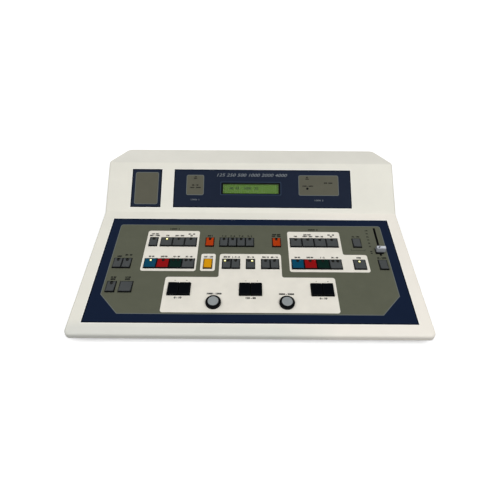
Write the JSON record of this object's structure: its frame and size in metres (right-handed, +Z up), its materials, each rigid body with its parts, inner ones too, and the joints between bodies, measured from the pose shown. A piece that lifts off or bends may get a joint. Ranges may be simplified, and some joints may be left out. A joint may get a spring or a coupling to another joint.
{
  "type": "audiometer console",
  "caption": "Desktop hearing test console: shallow sloping key panel with rocking lit keys, slide fader and round buttons, raised housing with a character display.",
  "frame": {"origin": "on the table under the middle of the console, at the height of the feet", "axes": "+X to the user's right, +Y to the back, +Z up"},
  "size_m": [0.46, 0.3286, 0.0997],
  "materials": {
    "case_shell": "fine structured off-white enamel",
    "tray_metal": "off-white painted sheet steel",
    "foil_print": "printed polyester foil",
    "window_clear": "clear tinted pane",
    "lcd_glass": "yellow-green character display",
    "switch_black": "black moulded plastic",
    "lamp_yellow": "yellow lamp",
    "board_green": "green circuit board",
    "core_steel": "laminated steel core",
    "foot_rubber": "soft black rubber",
    "screw_steel": "plated screws",
    "fader_grey": "grey-blue fader cap",
    "button_grey": "light grey moulded cap",
    "key_grey": "dark grey moulded cap",
    "key_black": "black moulded cap",
    "key_blue": "blue moulded cap",
    "key_red": "red moulded cap",
    "key_green": "dark green moulded cap",
    "key_orange": "orange moulded cap",
    "key_yellow": "amber yellow moulded cap"
  },
  "bodies": {
    "console": {"top_cover": "case_shell", "base_tray": "tray_metal", "printed_foils": "foil_print", "lcd_window": "window_clear", "lcd_module": "lcd_glass", "switch_bodies": "switch_black", "key_lamps": "lamp_yellow", "fader_body": "switch_black", "circuit_boards": "board_green", "mains_transformer": "core_steel", "rear_panel": "tray_metal", "rear_sockets": "switch_black", "mains_inlet": "switch_black", "rubber_feet": "foot_rubber", "case_screws": "screw_steel"},
    "left_source_key_1": {"left_source_key_1": "key_grey"},
    "left_source_key_2": {"left_source_key_2": "key_grey"},
    "left_source_key_3": {"left_source_key_3": "key_grey"},
    "left_source_key_4": {"left_source_key_4": "key_grey"},
    "left_blue_key": {"left_blue_key": "key_blue"},
    "left_red_key": {"left_red_key": "key_red"},
    "left_green_key": {"left_green_key": "key_green"},
    "left_grey_key": {"left_grey_key": "key_grey"},
    "side_key_1": {"side_key_1": "key_grey"},
    "side_key_2": {"side_key_2": "key_grey"},
    "side_key_3": {"side_key_3": "key_grey"},
    "side_key_4": {"side_key_4": "key_grey"},
    "left_orange_key": {"left_orange_key": "key_orange"},
    "centre_upper_key_1": {"centre_upper_key_1": "key_grey"},
    "centre_upper_key_2": {"centre_upper_key_2": "key_grey"},
    "centre_upper_key_3": {"centre_upper_key_3": "key_grey"},
    "centre_upper_key_4": {"centre_upper_key_4": "key_grey"},
    "right_orange_key": {"right_orange_key": "key_orange"},
    "yellow_key": {"yellow_key": "key_yellow"},
    "centre_lower_key_1": {"centre_lower_key_1": "key_grey"},
    "centre_lower_key_2": {"centre_lower_key_2": "key_grey"},
    "centre_lower_key_3": {"centre_lower_key_3": "key_grey"},
    "centre_lower_key_4": {"centre_lower_key_4": "key_grey"},
    "centre_lower_key_5": {"centre_lower_key_5": "key_grey"},
    "right_source_key_1": {"right_source_key_1": "key_grey"},
    "right_source_key_2": {"right_source_key_2": "key_grey"},
    "right_source_key_3": {"right_source_key_3": "key_grey"},
    "right_source_key_4": {"right_source_key_4": "key_grey"},
    "right_blue_key": {"right_blue_key": "key_blue"},
    "right_red_key": {"right_red_key": "key_red"},
    "right_green_key": {"right_green_key": "key_green"},
    "right_grey_key": {"right_grey_key": "key_grey"},
    "right_lit_key": {"right_lit_key": "key_grey"},
    "talk_key": {"talk_key": "key_grey"},
    "reply_key": {"reply_key": "key_grey"},
    "left_level_minus_key": {"left_level_minus_key": "key_black"},
    "left_level_plus_key": {"left_level_plus_key": "key_black"},
    "frequency_minus_key": {"frequency_minus_key": "key_black"},
    "frequency_plus_key": {"frequency_plus_key": "key_black"},
    "right_level_minus_key": {"right_level_minus_key": "key_black"},
    "right_level_plus_key": {"right_level_plus_key": "key_black"},
    "left_tone_button": {"left_tone_button": "button_grey"},
    "right_tone_button": {"right_tone_button": "button_grey"},
    "fader_knob": {"fader_knob": "fader_grey"},
    "power_rocker": {"power_rocker": "switch_black"}
  },
  "joints": [
    {"name": "left_source_key_1_rock", "type": "hinge", "parent": "console", "child": "left_source_key_1", "pos_m": [-0.14273, -0.00432, 0.03613], "axis": [1, 0, 0], "range_deg": [0, 5], "stiffness_Nm_per_rad": 0.07, "springref_deg": -8.59},
    {"name": "left_source_key_2_rock", "type": "hinge", "parent": "console", "child": "left_source_key_2", "pos_m": [-0.12351, -0.00432, 0.03613], "axis": [1, 0, 0], "range_deg": [0, 5], "stiffness_Nm_per_rad": 0.07, "springref_deg": -8.59},
    {"name": "left_source_key_3_rock", "type": "hinge", "parent": "console", "child": "left_source_key_3", "pos_m": [-0.10573, -0.00432, 0.03613], "axis": [1, 0, 0], "range_deg": [0, 5], "stiffness_Nm_per_rad": 0.07, "springref_deg": -8.59},
    {"name": "left_source_key_4_rock", "type": "hinge", "parent": "console", "child": "left_source_key_4", "pos_m": [-0.08795, -0.00432, 0.03613], "axis": [1, 0, 0], "range_deg": [0, 5], "stiffness_Nm_per_rad": 0.07, "springref_deg": -8.59},
    {"name": "left_blue_key_rock", "type": "hinge", "parent": "console", "child": "left_blue_key", "pos_m": [-0.14086, -0.04483, 0.03043], "axis": [1, 0, 0], "range_deg": [0, 5], "stiffness_Nm_per_rad": 0.07, "springref_deg": -8.59},
    {"name": "left_red_key_rock", "type": "hinge", "parent": "console", "child": "left_red_key", "pos_m": [-0.12308, -0.04483, 0.03043], "axis": [1, 0, 0], "range_deg": [0, 5], "stiffness_Nm_per_rad": 0.07, "springref_deg": -8.59},
    {"name": "left_green_key_rock", "type": "hinge", "parent": "console", "child": "left_green_key", "pos_m": [-0.1053, -0.04483, 0.03043], "axis": [1, 0, 0], "range_deg": [0, 5], "stiffness_Nm_per_rad": 0.07, "springref_deg": -8.59},
    {"name": "left_grey_key_rock", "type": "hinge", "parent": "console", "child": "left_grey_key", "pos_m": [-0.08752, -0.04483, 0.03043], "axis": [1, 0, 0], "range_deg": [0, 5], "stiffness_Nm_per_rad": 0.07, "springref_deg": -8.59},
    {"name": "side_key_1_rock", "type": "hinge", "parent": "console", "child": "side_key_1", "pos_m": [-0.18651, -0.04483, 0.03043], "axis": [1, 0, 0], "range_deg": [0, 5], "stiffness_Nm_per_rad": 0.07, "springref_deg": -8.59},
    {"name": "side_key_2_rock", "type": "hinge", "parent": "console", "child": "side_key_2", "pos_m": [-0.17381, -0.04483, 0.03043], "axis": [1, 0, 0], "range_deg": [0, 5], "stiffness_Nm_per_rad": 0.07, "springref_deg": -8.59},
    {"name": "side_key_3_rock", "type": "hinge", "parent": "console", "child": "side_key_3", "pos_m": [-0.18671, -0.08525, 0.02475], "axis": [1, 0, 0], "range_deg": [0, 5], "stiffness_Nm_per_rad": 0.07, "springref_deg": -8.59},
    {"name": "side_key_4_rock", "type": "hinge", "parent": "console", "child": "side_key_4", "pos_m": [-0.16684, -0.08525, 0.02475], "axis": [1, 0, 0], "range_deg": [0, 5], "stiffness_Nm_per_rad": 0.07, "springref_deg": -8.59},
    {"name": "left_orange_key_rock", "type": "hinge", "parent": "console", "child": "left_orange_key", "pos_m": [-0.05984, -0.00432, 0.03613], "axis": [1, 0, 0], "range_deg": [0, 5], "stiffness_Nm_per_rad": 0.07, "springref_deg": -8.59},
    {"name": "centre_upper_key_1_rock", "type": "hinge", "parent": "console", "child": "centre_upper_key_1", "pos_m": [-0.03924, -0.00432, 0.03613], "axis": [1, 0, 0], "range_deg": [0, 5], "stiffness_Nm_per_rad": 0.07, "springref_deg": -8.59},
    {"name": "centre_upper_key_2_rock", "type": "hinge", "parent": "console", "child": "centre_upper_key_2", "pos_m": [-0.02654, -0.00432, 0.03613], "axis": [1, 0, 0], "range_deg": [0, 5], "stiffness_Nm_per_rad": 0.07, "springref_deg": -8.59},
    {"name": "centre_upper_key_3_rock", "type": "hinge", "parent": "console", "child": "centre_upper_key_3", "pos_m": [-0.01384, -0.00432, 0.03613], "axis": [1, 0, 0], "range_deg": [0, 5], "stiffness_Nm_per_rad": 0.07, "springref_deg": -8.59},
    {"name": "centre_upper_key_4_rock", "type": "hinge", "parent": "console", "child": "centre_upper_key_4", "pos_m": [-0.00114, -0.00432, 0.03613], "axis": [1, 0, 0], "range_deg": [0, 5], "stiffness_Nm_per_rad": 0.07, "springref_deg": -8.59},
    {"name": "right_orange_key_rock", "type": "hinge", "parent": "console", "child": "right_orange_key", "pos_m": [0.03827, -0.00432, 0.03613], "axis": [1, 0, 0], "range_deg": [0, 5], "stiffness_Nm_per_rad": 0.07, "springref_deg": -8.59},
    {"name": "yellow_key_rock", "type": "hinge", "parent": "console", "child": "yellow_key", "pos_m": [-0.05984, -0.04483, 0.03043], "axis": [1, 0, 0], "range_deg": [0, 5], "stiffness_Nm_per_rad": 0.07, "springref_deg": -8.59},
    {"name": "centre_lower_key_1_rock", "type": "hinge", "parent": "console", "child": "centre_lower_key_1", "pos_m": [-0.03352, -0.04483, 0.03043], "axis": [1, 0, 0], "range_deg": [0, 5], "stiffness_Nm_per_rad": 0.07, "springref_deg": -8.59},
    {"name": "centre_lower_key_2_rock", "type": "hinge", "parent": "console", "child": "centre_lower_key_2", "pos_m": [-0.02082, -0.04483, 0.03043], "axis": [1, 0, 0], "range_deg": [0, 5], "stiffness_Nm_per_rad": 0.07, "springref_deg": -8.59},
    {"name": "centre_lower_key_3_rock", "type": "hinge", "parent": "console", "child": "centre_lower_key_3", "pos_m": [0.00021, -0.04483, 0.03043], "axis": [1, 0, 0], "range_deg": [0, 5], "stiffness_Nm_per_rad": 0.07, "springref_deg": -8.59},
    {"name": "centre_lower_key_4_rock", "type": "hinge", "parent": "console", "child": "centre_lower_key_4", "pos_m": [0.02146, -0.04483, 0.03043], "axis": [1, 0, 0], "range_deg": [0, 5], "stiffness_Nm_per_rad": 0.07, "springref_deg": -8.59},
    {"name": "centre_lower_key_5_rock", "type": "hinge", "parent": "console", "child": "centre_lower_key_5", "pos_m": [0.03416, -0.04483, 0.03043], "axis": [1, 0, 0], "range_deg": [0, 5], "stiffness_Nm_per_rad": 0.07, "springref_deg": -8.59},
    {"name": "right_source_key_1_rock", "type": "hinge", "parent": "console", "child": "right_source_key_1", "pos_m": [0.0669, -0.00432, 0.03613], "axis": [1, 0, 0], "range_deg": [0, 5], "stiffness_Nm_per_rad": 0.07, "springref_deg": -8.59},
    {"name": "right_source_key_2_rock", "type": "hinge", "parent": "console", "child": "right_source_key_2", "pos_m": [0.08468, -0.00432, 0.03613], "axis": [1, 0, 0], "range_deg": [0, 5], "stiffness_Nm_per_rad": 0.07, "springref_deg": -8.59},
    {"name": "right_source_key_3_rock", "type": "hinge", "parent": "console", "child": "right_source_key_3", "pos_m": [0.10246, -0.00432, 0.03613], "axis": [1, 0, 0], "range_deg": [0, 5], "stiffness_Nm_per_rad": 0.07, "springref_deg": -8.59},
    {"name": "right_source_key_4_rock", "type": "hinge", "parent": "console", "child": "right_source_key_4", "pos_m": [0.12024, -0.00432, 0.03613], "axis": [1, 0, 0], "range_deg": [0, 5], "stiffness_Nm_per_rad": 0.07, "springref_deg": -8.59},
    {"name": "right_blue_key_rock", "type": "hinge", "parent": "console", "child": "right_blue_key", "pos_m": [0.0669, -0.04483, 0.03043], "axis": [1, 0, 0], "range_deg": [0, 5], "stiffness_Nm_per_rad": 0.07, "springref_deg": -8.59},
    {"name": "right_red_key_rock", "type": "hinge", "parent": "console", "child": "right_red_key", "pos_m": [0.08468, -0.04483, 0.03043], "axis": [1, 0, 0], "range_deg": [0, 5], "stiffness_Nm_per_rad": 0.07, "springref_deg": -8.59},
    {"name": "right_green_key_rock", "type": "hinge", "parent": "console", "child": "right_green_key", "pos_m": [0.10246, -0.04483, 0.03043], "axis": [1, 0, 0], "range_deg": [0, 5], "stiffness_Nm_per_rad": 0.07, "springref_deg": -8.59},
    {"name": "right_grey_key_rock", "type": "hinge", "parent": "console", "child": "right_grey_key", "pos_m": [0.12024, -0.04483, 0.03043], "axis": [1, 0, 0], "range_deg": [0, 5], "stiffness_Nm_per_rad": 0.07, "springref_deg": -8.59},
    {"name": "right_lit_key_rock", "type": "hinge", "parent": "console", "child": "right_lit_key", "pos_m": [0.15426, -0.04483, 0.03043], "axis": [1, 0, 0], "range_deg": [0, 5], "stiffness_Nm_per_rad": 0.07, "springref_deg": -8.59},
    {"name": "talk_key_rock", "type": "hinge", "parent": "console", "child": "talk_key", "pos_m": [0.15658, -0.00432, 0.03613], "axis": [1, 0, 0], "range_deg": [0, 5], "stiffness_Nm_per_rad": 0.07, "springref_deg": -8.59},
    {"name": "reply_key_rock", "type": "hinge", "parent": "console", "child": "reply_key", "pos_m": [0.18724, -0.04483, 0.03043], "axis": [1, 0, 0], "range_deg": [0, 5], "stiffness_Nm_per_rad": 0.07, "springref_deg": -8.59},
    {"name": "left_level_minus_key_rock", "type": "hinge", "parent": "console", "child": "left_level_minus_key", "pos_m": [-0.10278, -0.08747, 0.02444], "axis": [1, 0, 0], "range_deg": [0, 5], "stiffness_Nm_per_rad": 0.07, "springref_deg": -8.59},
    {"name": "left_level_plus_key_rock", "type": "hinge", "parent": "console", "child": "left_level_plus_key", "pos_m": [-0.08754, -0.08747, 0.02444], "axis": [1, 0, 0], "range_deg": [0, 5], "stiffness_Nm_per_rad": 0.07, "springref_deg": -8.59},
    {"name": "frequency_minus_key_rock", "type": "hinge", "parent": "console", "child": "frequency_minus_key", "pos_m": [-0.0072, -0.08747, 0.02444], "axis": [1, 0, 0], "range_deg": [0, 5], "stiffness_Nm_per_rad": 0.07, "springref_deg": -8.59},
    {"name": "frequency_plus_key_rock", "type": "hinge", "parent": "console", "child": "frequency_plus_key", "pos_m": [0.00804, -0.08747, 0.02444], "axis": [1, 0, 0], "range_deg": [0, 5], "stiffness_Nm_per_rad": 0.07, "springref_deg": -8.59},
    {"name": "right_level_minus_key_rock", "type": "hinge", "parent": "console", "child": "right_level_minus_key", "pos_m": [0.08859, -0.08747, 0.02444], "axis": [1, 0, 0], "range_deg": [0, 5], "stiffness_Nm_per_rad": 0.07, "springref_deg": -8.59},
    {"name": "right_level_plus_key_rock", "type": "hinge", "parent": "console", "child": "right_level_plus_key", "pos_m": [0.10383, -0.08747, 0.02444], "axis": [1, 0, 0], "range_deg": [0, 5], "stiffness_Nm_per_rad": 0.07, "springref_deg": -8.59},
    {"name": "left_tone_button_press", "type": "slide", "parent": "console", "child": "left_tone_button", "axis": [0, 0.1392, -0.9903], "range_m": [0, 0.003], "stiffness_N_per_m": 400, "springref_m": -0.003},
    {"name": "right_tone_button_press", "type": "slide", "parent": "console", "child": "right_tone_button", "axis": [0, 0.1392, -0.9903], "range_m": [0, 0.003], "stiffness_N_per_m": 400, "springref_m": -0.003},
    {"name": "fader_slide", "type": "slide", "parent": "console", "child": "fader_knob", "axis": [0, 0.9903, 0.1392], "range_m": [-0.005, 0.04]},
    {"name": "power_rocker_tilt", "type": "hinge", "parent": "console", "child": "power_rocker", "pos_m": [-0.16975, 0.15076, 0.038], "axis": [1, 0, 0], "range_deg": [0, 14]}
  ]
}
